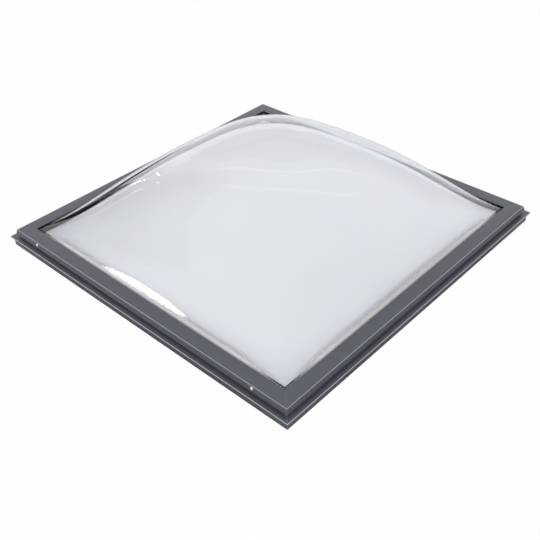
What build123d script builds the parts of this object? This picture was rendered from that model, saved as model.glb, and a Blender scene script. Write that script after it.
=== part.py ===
from build123d import *
import math
import os

# Fixed roof skylight for a square curb: a mitred aluminium curb frame, an opal dome under
# a clear dome, and a mitred cap frame screwed down over both rims.
#
# Sizes are in millimetres. The origin is the middle of the opening at the foot of the
# frame's outer leg, and +Z is up. A place across a rail is its distance out from the
# middle. The front rail lies towards -Y, and the other three are turned copies of it.

# Cap frame
CAP_SIZE = 900.0
CAP_WIDTH = 34.8
CAP_PLATE = 2.0
CAP_EDGE_RADIUS = 1.4
SKIRT_HEIGHT = 10.5
SKIRT_FLARE = 3.0
SKIRT_WALL = 2.0

# Curb frame
LEG_DEPTH = 22.5
LEG_WALL = 2.2
LEG_SETBACK = 6.0
LEDGE_REACH = 15.0
LEDGE_WALL = 2.7
SHELF_DROP = 3.0
SHELF_WALL = 2.7
UPSTAND_WALL = 2.7
UPSTAND_GAP = 0.6
UPSTAND_HEADROOM = 0.5
COVE_RADIUS = 3.0
RIB_WALL = 1.2
RIB_REACH = 1.8
CURB_WALL = 38.0
CURB_CLEARANCE = 2.4
GUTTER_WALL = 2.2
GUTTER_REACH = 7.0
GUTTER_DROP = 12.5
GUTTER_LIP = 9.0
EDGE_RADIUS = 0.7
INNER_RADIUS = 0.9

# Domes
OUTER_SHEET = 4.0
OUTER_CROWN_WALL = 3.0
OUTER_RISE = 190.0
INNER_SHEET = 3.0
INNER_CROWN_WALL = 2.4
CROWN_AIR_GAP = 25.0
CROWN_OFFSET = 19.7
DOME_POWER = 2.49
DOME_FULLNESS = 0.80
DOME_STATIONS = 27
SHEET_CLEARANCE = 3.0
CAP_REVEAL = 3.2
SPACER_REVEAL = 3.0

# Seals and spacer
BED_GASKET = 1.5
BED_GASKET_WIDTH = 28.0
TOP_GASKET = 2.5
TOP_GASKET_SETBACK = 2.6
CURB_GASKET = 3.0
CURB_GASKET_SETBACK = 2.5
SPACER_HEIGHT = 9.8
SPACER_NOSE = 1.0
SPACER_WALL = 1.5

# Corner keys
KEY_LEG = 55.0
KEY_HEIGHT = 5.4
KEY_FIT = 0.3
CAP_KEY_LEG = 45.0
CAP_KEY_WIDTH = 9.0
CAP_KEY_HEADROOM = 0.5

# Screws and holes
SCREW_FROM_CORNER = 89.0
SCREW_HEAD_RADIUS = 3.6
SCREW_HEAD_HEIGHT = 2.2
SCREW_HEAD_ROUND = 1.3
SCREW_SHANK_RADIUS = 1.75
SCREW_TIP = 1.2
SCREW_HOLE_PLAY = 0.3
SCREW_THREAD_FIT = 0.05
DRIVE_SLOT_LENGTH = 3.6
DRIVE_SLOT_WIDTH = 0.8
DRIVE_SLOT_DEPTH = 1.1
FIXING_SPACING = 560.0
FIXING_HEIGHT = 9.0
FIXING_RADIUS = 2.5

# Heights of the stack, from the leg's foot to the cap's top
ledge_top = LEG_DEPTH + LEDGE_WALL
shelf_top = ledge_top - SHELF_DROP
shelf_under = shelf_top - SHELF_WALL
inner_rim_under = shelf_top + BED_GASKET
inner_rim_top = inner_rim_under + INNER_SHEET
outer_rim_under = inner_rim_top + SPACER_HEIGHT
outer_rim_top = outer_rim_under + OUTER_SHEET
plate_under = outer_rim_top + TOP_GASKET
cap_top = plate_under + CAP_PLATE
upstand_top = plate_under - UPSTAND_HEADROOM
skirt_foot = cap_top - SKIRT_HEIGHT
gutter_under = shelf_under - GUTTER_DROP
rib_top = LEG_DEPTH - KEY_HEIGHT - 2 * KEY_FIT
rib_under = rib_top - RIB_WALL

# Distances out from the middle
cap_out = CAP_SIZE / 2
cap_in = cap_out - CAP_WIDTH
skirt_slope = math.atan2(SKIRT_FLARE, SKIRT_HEIGHT)
skirt_across = SKIRT_WALL / math.cos(skirt_slope)
skirt_root = cap_out + CAP_PLATE * math.tan(skirt_slope) - skirt_across
upstand_out = skirt_root - UPSTAND_GAP
upstand_in = upstand_out - UPSTAND_WALL
ledge_out = cap_out + LEDGE_REACH
leg_out = ledge_out - LEG_SETBACK
leg_in = leg_out - LEG_WALL
rib_in = leg_in - RIB_REACH
gutter_web_out = rib_in - CURB_WALL - 2 * CURB_CLEARANCE
gutter_web_in = gutter_web_out - GUTTER_WALL
sheet_out = upstand_in - SHEET_CLEARANCE
outer_dome_out = cap_in - CAP_REVEAL
outer_dome_in = outer_dome_out - OUTER_SHEET
spacer_in = outer_dome_in - SPACER_NOSE
inner_dome_out = spacer_in - SPACER_REVEAL
inner_dome_in = inner_dome_out - INNER_SHEET
gutter_in = inner_dome_in - GUTTER_REACH
cap_key_out = upstand_in - KEY_FIT
cap_key_in = cap_key_out - CAP_KEY_WIDTH

# Rises of the four dome faces above their own edges
outer_inside_rise = outer_rim_top + OUTER_RISE - OUTER_CROWN_WALL - outer_rim_under
inner_rise = outer_rim_under + outer_inside_rise - CROWN_AIR_GAP - inner_rim_top
inner_inside_rise = inner_rim_top + inner_rise - INNER_CROWN_WALL - inner_rim_under

SECTION = Plane(origin=(0, 0, 0), x_dir=(0, -1, 0), z_dir=(-1, 0, 0))
SIDES = ("front", "right", "back", "left")
CORNERS = ("front_right", "back_right", "back_left", "front_left")
QUARTER = 90.0


def outline(corners):
    """A closed face through (distance out, height, radius) corners, each rounded by its radius."""
    stretches = []
    for index, (out, height, radius) in enumerate(corners):
        here = Vector(out, height)
        back = (Vector(*corners[index - 1][:2]) - here).normalized()
        onward = (Vector(*corners[(index + 1) % len(corners)][:2]) - here).normalized()
        half = math.radians(back.get_angle(onward)) / 2
        reach = radius / math.tan(half)
        sagitta = radius / math.sin(half) - radius
        middle = here + (back + onward).normalized() * sagitta
        stretches.append((here + back * reach, middle, here + onward * reach, radius))
    edges = []
    for index, (start, middle, stop, radius) in enumerate(stretches):
        edges.append(Line(stretches[index - 1][2], start))
        if radius > 0:
            edges.append(ThreePointArc(start, middle, stop))
    return make_face(edges)


def rail(section):
    """The front rail: its section carried along X, mitred at 45 degrees at both ends."""
    far = 2 * ledge_out
    bar = extrude(SECTION * section, amount=far, both=True)
    quadrant = extrude(Polygon((0, 0), (-far, -far), (far, -far), align=None), amount=far, both=True)
    return bar & quadrant


def turned(solid, quarters):
    """The solid turned about Z by quarter turns, from the front towards the right."""
    return Rot(0, 0, QUARTER * quarters) * solid


def square_ring(inner, outer, low, height):
    """A flat square ring between two distances out, standing on the height low."""
    ring = Rectangle(2 * outer, 2 * outer) - Rectangle(2 * inner, 2 * inner)
    return Pos(0, 0, low) * extrude(ring, amount=height)


def corner_angle(inner, outer, leg, low, height):
    """A flat L at the front right corner, its legs measured along the outside."""
    shape = Polygon(
        (outer, -outer),
        (outer, leg - outer),
        (inner, leg - outer),
        (inner, -inner),
        (outer - leg, -inner),
        (outer - leg, -outer),
        align=None,
    )
    return Pos(0, 0, low) * extrude(shape, amount=height)


def cap_section():
    """Flat top plate with a skirt that slopes outwards to its foot."""
    foot_out = cap_out + SKIRT_FLARE
    foot_in = foot_out - skirt_across
    return outline((
        (cap_in, cap_top, EDGE_RADIUS),
        (cap_out, cap_top, CAP_EDGE_RADIUS),
        (foot_out, skirt_foot, EDGE_RADIUS),
        (foot_in, skirt_foot, EDGE_RADIUS),
        (skirt_root, plate_under, EDGE_RADIUS),
        (cap_in, plate_under, 0.0),
    ))


def frame_section():
    """Ledge and leg outside, key rib, shelf for the domes, upstand, and a gutter inside."""
    gutter_floor = gutter_under + GUTTER_WALL
    gutter_lip_out = gutter_in + GUTTER_WALL
    lip_top = gutter_under + GUTTER_LIP
    return outline((
        (ledge_out, ledge_top, EDGE_RADIUS),
        (ledge_out, LEG_DEPTH, EDGE_RADIUS),
        (leg_out, LEG_DEPTH, INNER_RADIUS),
        (leg_out, 0.0, EDGE_RADIUS),
        (leg_in, 0.0, EDGE_RADIUS),
        (leg_in, rib_under, 0.0),
        (rib_in, rib_under, 0.0),
        (rib_in, rib_top, 0.0),
        (leg_in, rib_top, 0.0),
        (leg_in, LEG_DEPTH, 0.0),
        (upstand_out, LEG_DEPTH, 0.0),
        (upstand_out, shelf_under, INNER_RADIUS),
        (gutter_web_out, shelf_under, INNER_RADIUS),
        (gutter_web_out, gutter_under, INNER_RADIUS),
        (gutter_in, gutter_under, INNER_RADIUS),
        (gutter_in, lip_top, EDGE_RADIUS),
        (gutter_lip_out, lip_top, EDGE_RADIUS),
        (gutter_lip_out, gutter_floor, INNER_RADIUS),
        (gutter_web_in, gutter_floor, INNER_RADIUS),
        (gutter_web_in, shelf_top, EDGE_RADIUS),
        (upstand_in, shelf_top, INNER_RADIUS),
        (upstand_in, upstand_top, EDGE_RADIUS),
        (upstand_out, upstand_top, EDGE_RADIUS),
        (upstand_out, ledge_top, COVE_RADIUS),
    ))


def spacer_section():
    """Box section that holds the two rims apart."""
    top = inner_rim_top + SPACER_HEIGHT
    box = outline((
        (spacer_in, top, EDGE_RADIUS),
        (sheet_out, top, EDGE_RADIUS),
        (sheet_out, inner_rim_top, EDGE_RADIUS),
        (spacer_in, inner_rim_top, EDGE_RADIUS),
    ))
    hollow = outline((
        (spacer_in + SPACER_WALL, top - SPACER_WALL, 0.0),
        (sheet_out - SPACER_WALL, top - SPACER_WALL, 0.0),
        (sheet_out - SPACER_WALL, inner_rim_top + SPACER_WALL, 0.0),
        (spacer_in + SPACER_WALL, inner_rim_top + SPACER_WALL, 0.0),
    ))
    return box - hollow


def screw_seats():
    """Planes on the front skirt's face, one for each screw, with their normals outwards."""
    seat_out = cap_out + SKIRT_FLARE / 2
    seat_height = cap_top - SKIRT_HEIGHT / 2
    normal = (0, -math.cos(skirt_slope), math.sin(skirt_slope))
    along = cap_out - SCREW_FROM_CORNER
    return [
        Plane(origin=(x, -seat_out, seat_height), x_dir=(1, 0, 0), z_dir=normal)
        for x in (-along, along)
    ]


def screw_depth():
    """Length of shank from the skirt's face to just past the upstand."""
    level = (cap_out + SKIRT_FLARE / 2 - upstand_in) / math.cos(skirt_slope)
    return level + SCREW_TIP


def screw_bore(radius):
    """The two screw axes of the front side as cylinders of one radius."""
    depth = screw_depth()
    return [
        seat * Cylinder(radius, 2 * depth)
        for seat in screw_seats()
    ]


def cap_screw():
    """A pan head with a cross slot on a plain shank, its seat at z = 0 and its head up."""
    head = Cylinder(SCREW_HEAD_RADIUS, SCREW_HEAD_HEIGHT, align=(Align.CENTER, Align.CENTER, Align.MIN))
    head = fillet(head.edges().group_by(Axis.Z)[-1], SCREW_HEAD_ROUND)
    depth = screw_depth()
    shank = Cylinder(SCREW_SHANK_RADIUS, depth, align=(Align.CENTER, Align.CENTER, Align.MAX))
    slot = Box(DRIVE_SLOT_LENGTH, DRIVE_SLOT_WIDTH, 2 * DRIVE_SLOT_DEPTH)
    cross = Pos(0, 0, SCREW_HEAD_HEIGHT) * (slot + Rot(0, 0, QUARTER) * slot)
    return head + shank - cross


def fixing_bores():
    """Holes through the front leg for the screws that hold the skylight to its curb."""
    middle = (leg_out + leg_in) / 2
    return [
        Pos(x, -middle, FIXING_HEIGHT) * Rot(90, 0, 0) * Cylinder(FIXING_RADIUS, 4 * LEG_WALL)
        for x in (-FIXING_SPACING / 2, FIXING_SPACING / 2)
    ]


def bulge(across, along, shift):
    """Share of the rise at a point of the blown sheet, from 0 at its edge to 1 at its crown.

    Both arguments run from -1 to 1 over the sheet. The crown lies off the middle by shift.
    """
    shape = 1.0
    for place in (across, along):
        warped = min(1.0, abs(place - shift * (1 - place ** 2)))
        shape *= 1 - warped ** DOME_POWER
    return shape ** DOME_FULLNESS


def blown_face(half, edge_height, rise):
    """The smooth face of a sheet blown up through a square opening of half-width half."""
    stations = [math.sin(math.pi / 2 * (2 * k / (DOME_STATIONS - 1) - 1)) for k in range(DOME_STATIONS)]
    shift = CROWN_OFFSET / half
    rows = [
        [(half * u, half * v, edge_height + rise * bulge(u, v, shift)) for u in stations]
        for v in stations
    ]
    return Face.make_surface_from_array_of_points(rows, tol=0.02, max_deg=5)


def dome(half_outside, half_inside, low, sheet, outside_rise, inside_rise):
    """A blown dome with its flat square rim, closed between its outer and inner faces."""
    high = low + sheet
    rim = Rectangle(2 * sheet_out, 2 * sheet_out)
    rim_top = Pos(0, 0, high) * (rim - Rectangle(2 * half_outside, 2 * half_outside))
    rim_under = Pos(0, 0, low) * (rim - Rectangle(2 * half_inside, 2 * half_inside))
    walls = [
        Pos(x * sheet_out, y * sheet_out, low + sheet / 2) * Rot(0, 0, angle) * Rot(90, 0, 0)
        * Rectangle(2 * sheet_out, sheet)
        for x, y, angle in ((0, -1, 0), (1, 0, 90), (0, 1, 180), (-1, 0, 270))
    ]
    faces = [
        blown_face(half_outside, high, outside_rise),
        blown_face(half_inside, low, inside_rise),
    ]
    for piece in (rim_top, rim_under, *walls):
        faces.extend(piece.faces())
    return Solid(Shell(Face.sew_faces(faces)[0]))


def build_nodes():
    """Every sub-part of the skylight by name."""
    nodes = {}
    cap_rail = rail(cap_section())
    frame_rail = rail(frame_section()) - fixing_bores()
    spacer_rail = rail(spacer_section())
    screwed_cap_rail = cap_rail - screw_bore(SCREW_SHANK_RADIUS + SCREW_HOLE_PLAY)
    screwed_frame_rail = frame_rail - screw_bore(SCREW_SHANK_RADIUS + SCREW_THREAD_FIT)
    for quarters, side in enumerate(SIDES):
        screwed = side in ("front", "back")
        nodes["cap_" + side] = turned(screwed_cap_rail if screwed else cap_rail, quarters)
        nodes["frame_" + side] = turned(screwed_frame_rail if screwed else frame_rail, quarters)
        nodes["dome_spacer_" + side] = turned(spacer_rail, quarters)

    frame_key = corner_angle(
        upstand_out + KEY_FIT, leg_in - KEY_FIT, KEY_LEG, rib_top + KEY_FIT, KEY_HEIGHT
    )
    cap_key = corner_angle(
        cap_key_in, cap_key_out, CAP_KEY_LEG, outer_rim_top + CAP_KEY_HEADROOM, TOP_GASKET - CAP_KEY_HEADROOM
    )
    for quarters, corner in enumerate(CORNERS):
        nodes["frame_key_" + corner] = turned(frame_key, quarters)
        nodes["cap_key_" + corner] = turned(cap_key, quarters)

    nodes["outer_dome"] = dome(
        outer_dome_out, outer_dome_in, outer_rim_under, OUTER_SHEET, OUTER_RISE, outer_inside_rise
    )
    nodes["inner_dome"] = dome(
        inner_dome_out, inner_dome_in, inner_rim_under, INNER_SHEET, inner_rise, inner_inside_rise
    )
    nodes["bed_gasket"] = square_ring(sheet_out - BED_GASKET_WIDTH, sheet_out, shelf_top, BED_GASKET)
    nodes["glazing_gasket"] = square_ring(
        cap_in + TOP_GASKET_SETBACK, cap_key_in - KEY_FIT, outer_rim_top, TOP_GASKET
    )
    nodes["curb_gasket"] = square_ring(
        gutter_web_out + CURB_GASKET_SETBACK,
        upstand_out - CURB_GASKET_SETBACK,
        shelf_under - CURB_GASKET,
        CURB_GASKET,
    )
    screws = [seat * cap_screw() for seat in screw_seats()]
    nodes["cap_screws"] = Compound(children=screws + [turned(screw, 2) for screw in screws])
    return nodes


os.makedirs("parts", exist_ok=True)
for name, solid in build_nodes().items():
    export_step(solid, "parts/" + name + ".step")
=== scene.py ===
import bpy
import numpy as np
from mathutils import Matrix, Vector


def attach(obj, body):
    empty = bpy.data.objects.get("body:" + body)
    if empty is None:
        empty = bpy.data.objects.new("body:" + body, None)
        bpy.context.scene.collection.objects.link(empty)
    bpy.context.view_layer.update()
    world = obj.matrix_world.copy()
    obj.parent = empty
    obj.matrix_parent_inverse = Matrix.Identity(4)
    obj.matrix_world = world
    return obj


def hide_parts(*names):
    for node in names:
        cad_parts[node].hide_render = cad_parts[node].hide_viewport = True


# Looks of a fixed roof skylight: a clear blown dome over an opal one, held by a mitred,
# powder-coated aluminium frame. The domes and the cap rails are drawn here as fine surfaces.
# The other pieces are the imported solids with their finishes.

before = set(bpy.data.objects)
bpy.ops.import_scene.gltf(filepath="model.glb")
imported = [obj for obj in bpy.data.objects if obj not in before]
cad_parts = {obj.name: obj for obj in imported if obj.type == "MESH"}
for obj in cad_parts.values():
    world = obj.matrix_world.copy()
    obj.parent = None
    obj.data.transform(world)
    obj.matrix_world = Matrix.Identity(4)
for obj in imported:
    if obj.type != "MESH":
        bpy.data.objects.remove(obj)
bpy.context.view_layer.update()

MM = 0.001

# The same sizes as in the part's source, in millimetres. A place across a rail is its
# distance out from the middle of the skylight, and a height is taken from the leg's foot.
CAP_OUT, CAP_IN = 450.0, 415.2
CAP_TOP, PLATE_UNDER, SKIRT_FOOT = 45.0, 43.0, 34.5
SKIRT_FOOT_OUT, SKIRT_FOOT_IN, SKIRT_ROOT = 453.0, 450.92, 448.49
CAP_EDGE_RADIUS, EDGE_RADIUS = 1.4, 0.7
LEDGE_OUT, LEDGE_TOP = 465.0, 25.2

# The domes: the edge of their rims, then for each one half the width of its blown face, its
# sheet, the underside of its rim, the top of its crown and the wall there
SHEET_OUT = 442.19
OUTER_HALF, OUTER_SHEET, OUTER_LOW, OUTER_CROWN, OUTER_CROWN_WALL = 412.0, 4.0, 36.5, 230.5, 3.0
INNER_HALF, INNER_SHEET, INNER_LOW, INNER_CROWN, INNER_CROWN_WALL = 404.0, 3.0, 23.7, 202.5, 2.4
CROWN_OFFSET, DOME_POWER, DOME_FULLNESS = 19.7, 2.49, 0.80

# Sizes that only the looks need, in millimetres
BEND_RADIUS = 1.6        # inside of the bend where a dome leaves its flat rim
MITRE_GROOVE = 0.3       # half-width and depth of the V where two cap rails meet
UNDER_RADIUS = 0.3       # lower edge of the cap's inner lip
PAINTED_HIGHLIGHT_START = 7.0        # where the painted highlight along the clear dome's foot starts, in from its edge
PAINTED_HIGHLIGHT_FULL = 1.0         # where it is full
PAINTED_HIGHLIGHT_THIN = 110.0       # where it starts to fade towards a corner, in from that edge
PAINTED_HIGHLIGHT_END = 24.0         # where it has gone
OPAL_PAINTED_SHADE_FADES = -12.0        # where the painted shade on the opal dome's foot starts to fade, over INNER_LOW
OPAL_PAINTED_SHADE_GONE = 45.0        # where the painted shade has gone and it is fully white, over INNER_LOW

# Shares and counts
FOOT_SET_IN = 1.1        # how far in the roll of the skirt's foot is centred, in radii
PAINTED_HIGHLIGHT_MOST = 0.9         # share of the clear sheet that the painted highlight turns frosted white
HIGHLIGHT_LINE_FULL = 0.6          # share of a painted highlight line's half-width where it keeps its full tone
DOME_STATIONS = 145      # points along each side of a blown face
RAIL_STATIONS = 33       # sections along a cap rail, apart from its two ends


# Meshes

def linear(code):
    """A colour written as sRGB hex, turned to linear light with full alpha."""
    share = np.array([int(code[i:i + 2], 16) for i in (1, 3, 5)]) / 255
    low, high = share / 12.92, ((share + 0.055) / 1.055) ** 2.4
    return (*np.where(share <= 0.04045, low, high).tolist(), 1.0)


def piece(name, points, quads, finish, sharp=40.0):
    """A mesh object from an array of points in millimetres and an array of quads.

    It is shaded smooth, apart from edges that turn by more than the sharp angle in degrees.
    """
    mesh = bpy.data.meshes.new(name)
    mesh.vertices.add(len(points))
    mesh.vertices.foreach_set("co", (points * MM).ravel())
    mesh.loops.add(quads.size)
    mesh.loops.foreach_set("vertex_index", quads.ravel())
    mesh.polygons.add(len(quads))
    mesh.polygons.foreach_set("loop_start", np.arange(0, quads.size, quads.shape[1]))
    mesh.update(calc_edges=True)
    mesh.validate()
    mesh.shade_smooth()
    mesh.set_sharp_from_angle(angle=np.radians(sharp))
    mesh.materials.append(finish)
    thing = bpy.data.objects.new(name, mesh)
    bpy.context.scene.collection.objects.link(thing)
    return thing


def strips(rows):
    """Quads between neighbouring rows of point numbers, each row a closed ring."""
    onward = np.roll(rows, -1, axis=1)
    return np.stack([rows[:-1], rows[1:], onward[1:], onward[:-1]], axis=-1).reshape(-1, 4)


def arc(out, height, radius, start, stop, count=6):
    """Points of a circle's arc about (out, height), between two angles in degrees."""
    angle = np.radians(np.linspace(start, stop, count))
    return np.stack([out + radius * np.cos(angle), height + radius * np.sin(angle)], axis=1)


# Blown domes

def bulge(place, half):
    """1 minus the warped distance from the crown raised to the dome's power.

    The distance is 0 at the crown, which lies off the middle, and 1 at both edges.
    """
    share = place / half
    warped = np.abs(share - CROWN_OFFSET / half * (1 - share ** 2))
    return 1 - np.minimum(warped, 1.0) ** DOME_POWER


def blown_face(half, edge, crown):
    """A sheet blown through a square opening: the height over its edge is the rise times the
    product of the two bulges, raised to the dome's fullness. The stations follow a sine, so
    that they crowd together where the wall is steep."""
    stations = half * np.sin(np.linspace(-np.pi / 2, np.pi / 2, DOME_STATIONS))
    x, y = np.meshgrid(stations, stations, indexing="ij")
    share = (bulge(x, half) * bulge(y, half)) ** DOME_FULLNESS
    return np.stack([x, y, edge + (crown - edge) * share], axis=-1)


def around(count):
    """The numbers of a square grid's border points, counter-clockwise from above."""
    grid = np.arange(count * count).reshape(count, count)
    return np.concatenate([grid[:-1, 0], grid[-1, :-1], grid[:0:-1, -1], grid[0, :0:-1]])


def dome(name, half, sheet, low, crown, crown_wall, finish):
    """A blown dome with its flat rim, as one closed skin.

    Two blown faces are joined by square rings that follow the rim's section: down the bend,
    out along the top, round the edge, back underneath and up the inside of the bend.
    """
    high = low + sheet
    middle = (half + BEND_RADIUS, high + BEND_RADIUS)
    face = blown_face(half, middle[1], crown)
    back = blown_face(half - sheet, middle[1], crown - crown_wall)
    section = np.concatenate([
        arc(*middle, BEND_RADIUS, 180, 270)[1:],
        arc(SHEET_OUT - EDGE_RADIUS, high - EDGE_RADIUS, EDGE_RADIUS, 90, 0),
        arc(SHEET_OUT - EDGE_RADIUS, low + EDGE_RADIUS, EDGE_RADIUS, 0, -90),
        arc(*middle, BEND_RADIUS + sheet, 270, 180, count=9)[:-1],
    ])
    border = around(DOME_STATIONS)
    square = face.reshape(-1, 3)[border, :2] / half
    ring = np.empty((len(section), len(border), 3))
    ring[..., :2] = section[:, None, :1] * square
    ring[..., 2] = section[:, 1:]
    points = np.concatenate([face.reshape(-1, 3), ring.reshape(-1, 3), back.reshape(-1, 3)])

    grid = np.arange(DOME_STATIONS ** 2).reshape(DOME_STATIONS, DOME_STATIONS)
    cells = np.stack([grid[:-1, :-1], grid[1:, :-1], grid[1:, 1:], grid[:-1, 1:]], axis=-1)
    cells = cells.reshape(-1, 4)
    first = grid.size
    last = first + len(section) * len(border)
    rows = np.concatenate([
        border[None], np.arange(first, last).reshape(ring.shape[:2]), last + border[None],
    ])
    quads = np.concatenate([cells, strips(rows), last + cells[:, ::-1]])
    return piece(name, points, quads, finish, sharp=60)


# Cap rails

def cap_profile():
    """The cap's closed section as (distance out, height): a flat plate whose skirt slopes
    outwards to its foot, with rolled edges. Its first half runs out along the top and down the
    skirt, its second half back inside, point for point opposite the first."""
    slope = np.degrees(np.arctan2(SKIRT_FOOT_OUT - CAP_OUT, CAP_TOP - SKIRT_FOOT))
    reach = CAP_EDGE_RADIUS * np.tan(np.radians(90 - slope) / 2)
    foot = SKIRT_FOOT + EDGE_RADIUS
    return np.concatenate([
        arc(CAP_IN + EDGE_RADIUS, CAP_TOP - EDGE_RADIUS, EDGE_RADIUS, 180, 90),
        arc(CAP_OUT - reach, CAP_TOP - CAP_EDGE_RADIUS, CAP_EDGE_RADIUS, 90, slope, count=9),
        arc(SKIRT_FOOT_OUT - FOOT_SET_IN * EDGE_RADIUS, foot, EDGE_RADIUS, slope, -90),
        arc(SKIRT_FOOT_IN + EDGE_RADIUS, foot, EDGE_RADIUS, -90, -180 + slope),
        arc(SKIRT_ROOT - EDGE_RADIUS, PLATE_UNDER - EDGE_RADIUS, EDGE_RADIUS, slope, 90, count=9),
        arc(CAP_IN + UNDER_RADIUS, PLATE_UNDER + UNDER_RADIUS, UNDER_RADIUS, -90, -180),
    ])


def cap_rail(name, quarters, finish):
    """One cap rail: the profile carried along its side, its ends cut at 45 degrees and closed.

    A point's place along the rail is a share of its distance out, from 1 to -1. The two end
    sections are drawn in, so that neighbouring rails leave a fine V between them. The rail is
    then turned by quarter turns about Z.
    """
    profile = cap_profile()
    onward = np.roll(profile, -1, axis=0) - np.roll(profile, 1, axis=0)
    drawn_in = profile + np.stack([onward[:, 1], -onward[:, 0]], axis=1) * (
        MITRE_GROOVE / np.linalg.norm(onward, axis=1, keepdims=True)
    )
    share = np.concatenate([[1], np.linspace(1, -1, RAIL_STATIONS), [-1]])[:, None]
    at_end = np.zeros_like(share, dtype=bool)
    at_end[[0, -1]] = True
    out = np.where(at_end, drawn_in[:, 0], profile[:, 0])
    height = np.where(at_end, drawn_in[:, 1], profile[:, 1])
    inset = np.where(at_end, 0.0, MITRE_GROOVE)
    points = np.stack([share * (out - inset), -out, height], axis=-1)
    angle = np.pi / 2 * quarters
    turn = np.array([[np.cos(angle), np.sin(angle), 0], [-np.sin(angle), np.cos(angle), 0], [0, 0, 1]])

    grid = np.arange(out.size).reshape(out.shape)
    half = len(profile) // 2
    ends = []
    for ring in (grid[0], grid[-1, ::-1]):
        here, there = ring[:half], ring[:half - 1:-1]
        ends.append(np.stack([here[:-1], here[1:], there[1:], there[:-1]], axis=-1))
    quads = np.concatenate([strips(grid), *ends])
    return piece(name, points.reshape(-1, 3) @ turn, quads, finish, sharp=50)


# Finishes

# A Mix node keeps its colour sockets after those for numbers and vectors.
FIRST, SECOND, MIXED = 6, 7, 2


def add(tree, kind, inputs=None, **settings):
    """Adds one node. Settings are its own properties. Inputs go to its sockets: another node's
    socket is linked, a hex colour is turned linear, and any other value is set."""
    item = tree.nodes.new(kind)
    for name, value in settings.items():
        setattr(item, name, value)
    for key, value in (inputs or {}).items():
        if isinstance(value, bpy.types.NodeSocket):
            tree.links.new(value, item.inputs[key])
        else:
            item.inputs[key].default_value = linear(value) if isinstance(value, str) else value
    return item


def blank(name):
    """A new material: itself, its emptied node tree, and the socket that gives a place on the
    piece."""
    finish = bpy.data.materials.new(name)
    finish.use_nodes = True
    tree = finish.node_tree
    tree.nodes.clear()
    return finish, tree, add(tree, "ShaderNodeTexCoord").outputs["Object"]


def grain(tree, place, size, detail=2.0, squeeze=(1, 1, 1)):
    """Noise whose lumps are about size millimetres across, divided by squeeze along each axis."""
    laid = add(tree, "ShaderNodeMapping", {"Vector": place, "Scale": squeeze})
    return add(tree, "ShaderNodeTexNoise", {
        "Vector": laid.outputs[0], "Scale": 1 / (size * MM), "Detail": detail,
    }).outputs["Fac"]


def between(tree, share, low, high):
    """A number, or a colour where low and high are hex values, that runs from low to high as
    share runs from 0 to 1."""
    if isinstance(low, str):
        return add(tree, "ShaderNodeMix", {
            "Factor": share, FIRST: low, SECOND: high,
        }, data_type="RGBA").outputs[MIXED]
    return add(tree, "ShaderNodeMapRange", {"Value": share, "To Min": low, "To Max": high}).outputs[0]


def sides(tree, place):
    """The sizes of x and y without their signs, and z."""
    x, y, z = add(tree, "ShaderNodeSeparateXYZ", {"Vector": place}).outputs
    across, along = (
        add(tree, "ShaderNodeMath", {0: side}, operation="ABSOLUTE").outputs[0] for side in (x, y)
    )
    return across, along, z


def from_line(tree, place, out, height):
    """Distance from the level line that runs round the skylight at a distance out and a height,
    both in millimetres: the length of (larger of |x| and |y|, less out; z, less height)."""
    across, along, z = sides(tree, place)
    reach = add(tree, "ShaderNodeMath", {0: across, 1: along}, operation="MAXIMUM").outputs[0]
    away = add(tree, "ShaderNodeCombineXYZ", {"X": reach, "Y": 0.0, "Z": z}).outputs[0]
    return add(tree, "ShaderNodeVectorMath", {
        0: away, 1: (out * MM, 0.0, height * MM),
    }, operation="DISTANCE").outputs["Value"]


def from_mitre(tree, place):
    """Difference of |x| and |y|, which is 0 on the planes where the rails meet."""
    across, along, _ = sides(tree, place)
    apart = add(tree, "ShaderNodeMath", {0: across, 1: along}, operation="SUBTRACT").outputs[0]
    return add(tree, "ShaderNodeMath", {0: apart}, operation="ABSOLUTE").outputs[0]


def powder_coated_aluminium():
    """Anthracite powder with a fine metal pigment, baked on. Satin, with an orange peel that
    breaks up the reflections. Paler lines along the mitres, the cap's outer edge and the
    ledge's edge are painted highlights."""
    finish, tree, place = blank("powder_coated_aluminium")
    cloud = grain(tree, place, 70, detail=3.0)
    # Orange peel is 1 to 2 mm across on the real film, drawn here at 4 mm so that it shows.
    peel = grain(tree, place, 4)
    bump = add(tree, "ShaderNodeBump", {"Height": peel, "Strength": 0.10, "Distance": 0.4 * MM})
    color = between(tree, cloud, "#50545b", "#595d65")
    # Each painted highlight line: how far a place is from it, half its width in millimetres, and its tone
    for away, half_width, tone in (
        (from_mitre(tree, place), 0.5, "#888c94"),
        (from_line(tree, place, CAP_OUT, CAP_TOP), 1.0, "#a8acb4"),
        (from_line(tree, place, LEDGE_OUT, LEDGE_TOP), 1.1, "#c8ccd4"),
    ):
        share = add(tree, "ShaderNodeMapRange", {
            "Value": away, "From Min": HIGHLIGHT_LINE_FULL * half_width * MM, "From Max": half_width * MM,
            "To Min": 1.0, "To Max": 0.0,
        }).outputs[0]
        color = add(tree, "ShaderNodeMix", {
            "Factor": share, FIRST: color, SECOND: tone,
        }, data_type="RGBA").outputs[MIXED]
    film = add(tree, "ShaderNodeBsdfPrincipled", {
        "Base Color": color,
        "Metallic": 0.25,
        "Roughness": between(tree, cloud, 0.33, 0.40),
        "Normal": bump.outputs[0],
    })
    add(tree, "ShaderNodeOutputMaterial", {"Surface": film.outputs[0]})
    return finish


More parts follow.
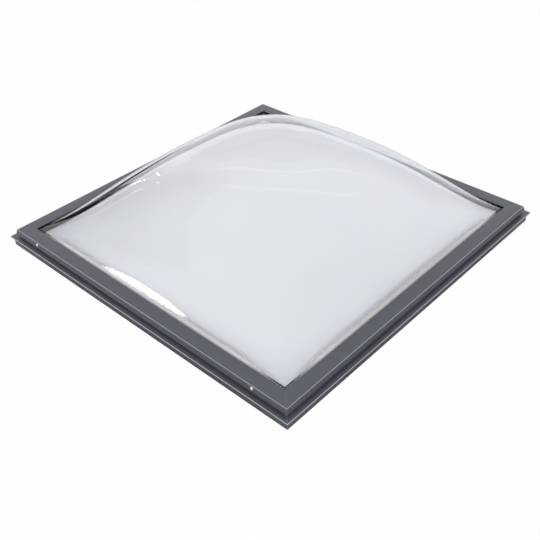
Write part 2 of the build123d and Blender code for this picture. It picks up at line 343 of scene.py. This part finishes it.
def mill_aluminium():
    """Extruded aluminium as it leaves the die: grey metal with faint drawing lines."""
    finish, tree, place = blank("mill_aluminium")
    # The lines are about 0.1 mm apart on the real metal, drawn here at 0.25 mm.
    lines = grain(tree, place, 3, detail=3.0, squeeze=(1, 1, 12))
    bump = add(tree, "ShaderNodeBump", {"Height": lines, "Strength": 0.08, "Distance": 0.2 * MM})
    metal = add(tree, "ShaderNodeBsdfPrincipled", {
        "Base Color": between(tree, lines, "#b9bbbd", "#cccdcf"),
        "Metallic": 1.0,
        "Roughness": between(tree, lines, 0.30, 0.42),
        "Normal": bump.outputs[0],
    })
    add(tree, "ShaderNodeOutputMaterial", {"Surface": metal.outputs[0]})
    return finish


def clear_acrylic():
    """Clear cast acrylic, blown hot into air. Glass-like and almost without colour, with slow
    ripples that the sheet keeps from the oven. A painted highlight runs along its foot: the
    sheet turns to a frosted white there, which also hides the shade in the gap beneath, and it
    fades towards the corners. Lamps shine straight through it."""
    finish, tree, place = blank("clear_acrylic")
    ripple = grain(tree, place, 180, detail=1.0)
    bump = add(tree, "ShaderNodeBump", {"Height": ripple, "Strength": 0.02, "Distance": 2 * MM})
    across, along, _ = sides(tree, place)
    reach, corner = (
        add(tree, "ShaderNodeMath", {0: across, 1: along}, operation=pick).outputs[0]
        for pick in ("MAXIMUM", "MINIMUM")
    )
    # Painted highlight: a frosted white strip along the foot, thinning out towards the corners.
    foot = add(tree, "ShaderNodeMapRange", {
        "Value": reach,
        "From Min": (OUTER_HALF - PAINTED_HIGHLIGHT_START) * MM, "From Max": (OUTER_HALF - PAINTED_HIGHLIGHT_FULL) * MM,
    }).outputs[0]
    along_side = add(tree, "ShaderNodeMapRange", {
        "Value": corner,
        "From Min": (OUTER_HALF - PAINTED_HIGHLIGHT_THIN) * MM, "From Max": (OUTER_HALF - PAINTED_HIGHLIGHT_END) * MM,
        "To Min": PAINTED_HIGHLIGHT_MOST, "To Max": 0.0,
    }).outputs[0]
    painted_highlight = add(tree, "ShaderNodeMath", {0: foot, 1: along_side}, operation="MULTIPLY").outputs[0]
    glass = add(tree, "ShaderNodeBsdfPrincipled", {
        "Base Color": between(tree, ripple, "#fbfbfd", "#fbfcfd"),
        "Roughness": 0.0,
        "IOR": 1.49,
        "Normal": bump.outputs[0],
    })
    # The socket's own value stands for the clear sheet, and the link for the painted highlight along its
    # foot. The export reads the sheet as clear from the socket's own value, and the frost from its link.
    glass.inputs["Transmission Weight"].default_value = 1.0
    tree.links.new(between(tree, painted_highlight, 1.0, 0.0), glass.inputs["Transmission Weight"])
    through = add(tree, "ShaderNodeBsdfTransparent", {"Color": "#f0f2f4"})
    lamps = add(tree, "ShaderNodeLightPath").outputs["Is Shadow Ray"]
    sheet = add(tree, "ShaderNodeMixShader", {0: lamps, 1: glass.outputs[0], 2: through.outputs[0]})
    add(tree, "ShaderNodeOutputMaterial", {"Surface": sheet.outputs[0]})
    return finish


def opal_acrylic():
    """White-pigmented acrylic, blown like the clear one: glossy skin over a milky body. Its colour
    is white high up and turns to a cool grey towards its foot, where the frame stands close
    behind it: painted shade."""
    finish, tree, place = blank("opal_acrylic")
    cloud = grain(tree, place, 150, detail=2.0)
    height = sides(tree, place)[2]
    # Painted shade: the colour is a cool grey low down and turns white higher up.
    out_of_painted_shade = add(tree, "ShaderNodeMapRange", {
        "Value": height,
        "From Min": (INNER_LOW + OPAL_PAINTED_SHADE_FADES) * MM, "From Max": (INNER_LOW + OPAL_PAINTED_SHADE_GONE) * MM,
    }, interpolation_type="SMOOTHSTEP").outputs[0]
    milk_and_painted_shade = add(tree, "ShaderNodeMix", {
        "Factor": out_of_painted_shade, FIRST: "#e0e3e7", SECOND: between(tree, cloud, "#eeefef", "#f5f5f5"),
    }, data_type="RGBA").outputs[MIXED]
    sheet = add(tree, "ShaderNodeBsdfPrincipled", {
        "Base Color": milk_and_painted_shade,
        "Roughness": between(tree, cloud, 0.006, 0.012),
        "IOR": 1.49,
        "Specular IOR Level": 0.35,
    })
    add(tree, "ShaderNodeOutputMaterial", {"Surface": sheet.outputs[0]})
    return finish


def epdm_rubber():
    """Extruded EPDM: black and dull, with a fine rubbed grain."""
    finish, tree, place = blank("epdm_rubber")
    # The grain is about 0.5 mm across on the real strip, drawn here at 2 mm so that it shows.
    rub = grain(tree, place, 2, detail=3.0)
    bump = add(tree, "ShaderNodeBump", {"Height": rub, "Strength": 0.2, "Distance": 0.2 * MM})
    rubber = add(tree, "ShaderNodeBsdfPrincipled", {
        "Base Color": between(tree, rub, "#161617", "#222324"),
        "Roughness": between(tree, rub, 0.6, 0.8),
        "IOR": 1.5,
        "Normal": bump.outputs[0],
    })
    add(tree, "ShaderNodeOutputMaterial", {"Surface": rubber.outputs[0]})
    return finish


def epdm_sponge():
    """Foamed EPDM strip: black, with open cells about 1.5 mm across."""
    finish, tree, place = blank("epdm_sponge")
    cells = add(tree, "ShaderNodeTexVoronoi", {"Vector": place, "Scale": 1 / (1.5 * MM)}).outputs["Distance"]
    bump = add(tree, "ShaderNodeBump", {"Height": cells, "Strength": 0.6, "Distance": 0.4 * MM})
    foam = add(tree, "ShaderNodeBsdfPrincipled", {
        "Base Color": between(tree, cells, "#101011", "#2a2b2c"),
        "Roughness": 0.9,
        "IOR": 1.5,
        "Normal": bump.outputs[0],
    })
    add(tree, "ShaderNodeOutputMaterial", {"Surface": foam.outputs[0]})
    return finish


def black_pvc():
    """Extruded PVC box section: black with a soft sheen and faint lines along its length."""
    finish, tree, place = blank("black_pvc")
    # The lines are about 0.1 mm apart on the real plastic, drawn here at 0.3 mm.
    lines = grain(tree, place, 2, detail=2.0, squeeze=(1, 1, 6))
    bump = add(tree, "ShaderNodeBump", {"Height": lines, "Strength": 0.1, "Distance": 0.2 * MM})
    plastic = add(tree, "ShaderNodeBsdfPrincipled", {
        "Base Color": between(tree, lines, "#121314", "#1c1d1f"),
        "Roughness": between(tree, lines, 0.35, 0.5),
        "IOR": 1.53,
        "Normal": bump.outputs[0],
    })
    add(tree, "ShaderNodeOutputMaterial", {"Surface": plastic.outputs[0]})
    return finish


def stainless_steel():
    """Cold-formed stainless screws: bright metal, with a slightly uneven polish."""
    finish, tree, place = blank("stainless_steel")
    haze = grain(tree, place, 1.5, detail=2.0)
    metal = add(tree, "ShaderNodeBsdfPrincipled", {
        "Base Color": between(tree, haze, "#ececed", "#f8f8f8"),
        "Metallic": 1.0,
        "Roughness": between(tree, haze, 0.12, 0.20),
    })
    add(tree, "ShaderNodeOutputMaterial", {"Surface": metal.outputs[0]})
    return finish


FINISHES = {
    make.__name__: make()
    for make in (
        powder_coated_aluminium, mill_aluminium, clear_acrylic, opal_acrylic,
        epdm_rubber, epdm_sponge, black_pvc, stainless_steel,
    )
}
# The finish of each CAD node, by the first of these that its name starts with
NODE_FINISH = {
    "frame_key": "mill_aluminium",
    "cap_key": "mill_aluminium",
    "frame": "powder_coated_aluminium",
    "cap_screws": "stainless_steel",
    "cap": "powder_coated_aluminium",
    "dome_spacer": "black_pvc",
    "bed_gasket": "epdm_rubber",
    "glazing_gasket": "epdm_rubber",
    "curb_gasket": "epdm_sponge",
    "outer_dome": "clear_acrylic",
    "inner_dome": "opal_acrylic",
}

for name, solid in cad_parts.items():
    kind = next(kind for kind in NODE_FINISH if name.startswith(kind))
    solid.data.materials.clear()
    solid.data.materials.append(FINISHES[NODE_FINISH[kind]])

for quarters, side in enumerate(("front", "right", "back", "left")):
    rail = cap_rail("cap_rail_" + side, quarters, FINISHES["powder_coated_aluminium"])
    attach(rail, "root")
    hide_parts("cap_" + side)

for name, node, slot, sizes in (
    (
        "clear_dome", "outer_dome", "clear_acrylic",
        (OUTER_HALF, OUTER_SHEET, OUTER_LOW, OUTER_CROWN, OUTER_CROWN_WALL),
    ),
    (
        "opal_dome", "inner_dome", "opal_acrylic",
        (INNER_HALF, INNER_SHEET, INNER_LOW, INNER_CROWN, INNER_CROWN_WALL),
    ),
):
    shell = dome(name, *sizes, FINISHES[slot])
    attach(shell, "root")
    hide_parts(node)


# Floor, light and camera, with places in metres

FLOOR_HALF_WIDTH, FLOOR_HEIGHT = 8.0, -0.0002
# Reflections of the floor show plain paper up to the first distance from the middle, and
# white from the second.
PAPER_NEAR, PAPER_FAR = 0.55, 0.9


def paper(name, white, through, shade):
    """A pale paper floor that reads as white to the eye, through the clear dome and in far
    reflections. Reflections close by and all other light meet plain pale paper.

    White is the strength of its glow to the eye, and through is that of its glow through the
    dome, which is a little blue as well, like the sky. Shade is the glow's share where the floor
    reads as white: the rest is plain paper, which keeps a faint part of the skylight's shadow.
    """
    finish, tree, place = blank(name)
    body = add(tree, "ShaderNodeBsdfDiffuse", {
        "Color": between(tree, grain(tree, place, 12), "#d3d3d3", "#dadada"),
    }).outputs[0]
    rays = add(tree, "ShaderNodeLightPath").outputs
    glow = add(tree, "ShaderNodeEmission", {
        "Color": between(tree, rays["Is Transmission Ray"], "#ffffff", "#eef4ff"),
        "Strength": between(tree, rays["Is Transmission Ray"], white, through),
    }).outputs[0]
    seen = add(tree, "ShaderNodeMath", {
        0: rays["Is Camera Ray"], 1: rays["Is Transmission Ray"],
    }, operation="MAXIMUM").outputs[0]
    gone = add(tree, "ShaderNodeVectorMath", {0: place}, operation="LENGTH").outputs["Value"]
    far = add(tree, "ShaderNodeMapRange", {
        "Value": gone, "From Min": PAPER_NEAR, "From Max": PAPER_FAR,
    }).outputs[0]
    mirrored = add(tree, "ShaderNodeMath", {
        0: far, 1: rays["Is Glossy Ray"],
    }, operation="MULTIPLY").outputs[0]
    whitened = add(tree, "ShaderNodeMath", {0: seen, 1: mirrored}, operation="MAXIMUM").outputs[0]
    amount = add(tree, "ShaderNodeMath", {0: whitened, 1: shade}, operation="MULTIPLY").outputs[0]
    sheet = add(tree, "ShaderNodeMixShader", {0: amount, 1: body, 2: glow})
    add(tree, "ShaderNodeOutputMaterial", {"Surface": sheet.outputs[0]})
    return finish


def flat_sheet(name, half_width, height, finish):
    """A level square sheet from minus to plus half its width along X and Y, in metres."""
    side = np.array([-half_width, half_width]) / MM
    x, y = np.meshgrid(side, side, indexing="ij")
    points = np.stack([x, y, np.full_like(x, height / MM)], axis=-1).reshape(-1, 3)
    return piece(name, points, np.array([[0, 2, 3, 1]]), finish)


def studio_world(fill, through):
    """White behind the object and in its reflections, and a soft even fill for the rest. What
    comes in through the clear dome is faintly blue, like daylight, and stronger, to make up for
    what the sheet turns back."""
    world = bpy.data.worlds.new("studio")
    world.use_nodes = True
    tree = world.node_tree
    tree.nodes.clear()
    rays = add(tree, "ShaderNodeLightPath").outputs
    seen = add(tree, "ShaderNodeMath", {
        0: rays["Is Camera Ray"], 1: rays["Is Glossy Ray"],
    }, operation="MAXIMUM").outputs[0]
    # Inputs 2 and 3 of a Mix node are its two numbers.
    level = add(tree, "ShaderNodeMix", {
        "Factor": rays["Is Transmission Ray"], 2: between(tree, seen, fill, 1.0), 3: through,
    }).outputs[0]
    color = between(tree, rays["Is Transmission Ray"], "#ffffff", "#fafcff")
    glow = add(tree, "ShaderNodeBackground", {"Color": color, "Strength": level})
    add(tree, "ShaderNodeOutputWorld", {"Surface": glow.outputs[0]})
    bpy.context.scene.world = world


def softbox(name, place, target, width, height, watts, lean=0.0):
    """A rectangular lamp at place that faces target, its width level unless it leans by an
    angle in degrees."""
    lamp = bpy.data.lights.new(name, "AREA")
    lamp.shape = "RECTANGLE"
    lamp.size, lamp.size_y, lamp.energy = width, height, watts
    box = bpy.data.objects.new(name, lamp)
    towards = (Vector(target) - Vector(place)).to_track_quat("-Z", "Y").to_matrix().to_4x4()
    box.matrix_world = Matrix.Translation(place) @ towards @ Matrix.Rotation(np.radians(lean), 4, "Z")
    bpy.context.scene.collection.objects.link(box)
    return box


def fading_cloth(name, tone, middle, away, upward):
    """Cloth of one tone that fades to the white of the room. It fades between two distances in
    metres from a middle along Y, and again between two heights."""
    finish, tree, place = blank(name)
    _, y, z = add(tree, "ShaderNodeSeparateXYZ", {"Vector": place}).outputs
    aside = add(tree, "ShaderNodeMath", {0: y, 1: middle}, operation="SUBTRACT").outputs[0]
    aside = add(tree, "ShaderNodeMath", {0: aside}, operation="ABSOLUTE").outputs[0]
    fades = [
        add(tree, "ShaderNodeMapRange", {
            "Value": value, "From Min": first, "From Max": last,
        }, interpolation_type="SMOOTHSTEP").outputs[0]
        for value, (first, last) in ((aside, away), (z, upward))
    ]
    fade = add(tree, "ShaderNodeMath", {0: fades[0], 1: fades[1]}, operation="MAXIMUM").outputs[0]
    glow = add(tree, "ShaderNodeEmission", {
        "Color": between(tree, fade, tone, "#ffffff"), "Strength": 1.0,
    })
    add(tree, "ShaderNodeOutputMaterial", {"Surface": glow.outputs[0]})
    return finish


def flag(name, corner, across, up, finish, gloss=True):
    """A cloth on a stand, from its lower corner along two edges in metres. It shows only to
    light that comes back through the clear dome and, if wanted, in reflections, where it gives
    the gloss something dark beside the bright wall."""
    start, across, up = np.array(corner), np.array(across), np.array(up)
    points = np.stack([start, start + across, start + across + up, start + up]) / MM
    cloth = piece(name, points, np.array([[0, 1, 2, 3]]), finish)
    cloth.visible_camera = cloth.visible_diffuse = cloth.visible_shadow = False
    cloth.visible_glossy = gloss


pale_paper = paper("pale_paper", white=1.0, through=1.15, shade=0.985)
floor = flat_sheet("floor", FLOOR_HALF_WIDTH, FLOOR_HEIGHT, pale_paper)

studio_world(fill=0.85, through=1.5)

# The bright wall that the back of the cap reflects, and soft light from above
wall = softbox("back_wall_softbox", (-2.1, 3.4, 0.85), (0, 0, 0.85), width=6.2, height=1.7, watts=8.5)
wall.visible_transmission = False
overhead = softbox("overhead_softbox", (0.5, 0.3, 3.2), (0, 0, 0), width=2.6, height=2.6, watts=8)
overhead.visible_glossy = overhead.visible_transmission = False

# An oval window, which the clear dome turns into a crescent near its front-left foot
window = softbox("low_window", (-1.955, -2.68, 0.47), (0, -0.4, 0.06), width=0.64, height=0.58, watts=8)
window.data.shape = "ELLIPSE"

# Two long strips, which draw thin arcs high on the dome
softbox("high_strip", (-2.1, 3.4, 3.6), (0, 0, 0.2), width=5.8, height=0.09, watts=0.7)
softbox("higher_strip", (-2.1, 3.4, 5.4), (0, 0, 0.2), width=6.4, height=0.16, watts=1.0)

# Two slits, which draw short dashes at the dome's left
slit_target = (-0.2, -0.18, 0.18)
softbox("upper_slit", (-2.28, 0.565, 0.74), slit_target, width=0.010, height=0.21, watts=0.16, lean=-20)
softbox("lower_slit", (-2.28, 0.435, 0.52), slit_target, width=0.010, height=0.17, watts=0.12, lean=18)

# Black cloth to the left and on the floor beside it, for the dark lines in the left corner.
# Grey cloth along the left and pale cloth at the back hold down the white of the opal dome on
# its left and at its top.
velvet = fading_cloth("black_velvet", "#1c1d20", middle=1.0, away=(1.0, 1.5), upward=(0.30, 0.48))
flag("side_flag", (-2.3, -0.6, 0.0), (0, 1.12, 0), (0, 0, 0.5), velvet)
felt = fading_cloth("grey_felt", "#2a2b2e", middle=-0.6, away=(0.6, 1.8), upward=(0.8, 2.8))
flag("long_flag", (-2.32, -2.4, 0.0), (0, 3.6, 0), (0, 0, 2.8), felt, gloss=False)
drape = fading_cloth("pale_drape", "#bec2c7", middle=0.0, away=(4.4, 5.9), upward=(0.7, 2.9))
flag("back_flag", (-4.75, 1.75, 0.0), (6.8, 4.2, 0), (0, 0, 2.9), drape, gloss=False)
flag("floor_flag", (-2.3, -0.6, 0.001), (1.3, 0, 0), (0, 1.12, 0), velvet)


def photo_camera(azimuth, elevation, roll, distance, target, lens):
    """A camera that looks at target from the given distance in metres and angles in degrees.

    Azimuth 0 looks along +Y, elevation lifts the camera, and roll turns it about its view.
    """
    turned, lifted, rolled = np.radians([azimuth, elevation, roll])
    back = np.array([
        np.sin(turned) * np.cos(lifted), -np.cos(turned) * np.cos(lifted), np.sin(lifted),
    ])
    right = np.array([np.cos(turned), np.sin(turned), 0.0])
    up = np.cross(back, right)
    axes = np.stack([
        np.cos(rolled) * right + np.sin(rolled) * up,
        np.cos(rolled) * up - np.sin(rolled) * right,
        back,
    ], axis=1)
    view = bpy.data.cameras.new("photo_camera")
    view.lens, view.sensor_width, view.clip_start = lens, 36.0, 0.05
    camera = bpy.data.objects.new("photo_camera", view)
    stand = Vector(np.array(target) + distance * back)
    camera.matrix_world = Matrix.Translation(stand) @ Matrix(axes.tolist()).to_4x4()
    bpy.context.scene.collection.objects.link(camera)
    bpy.context.scene.camera = camera


photo_camera(
    azimuth=43.76, elevation=38.08, roll=-1.92, distance=1.809, target=(0.1404, -0.1593, 0.045), lens=52.49,
)
bpy.context.scene.view_settings.view_transform = "Standard"
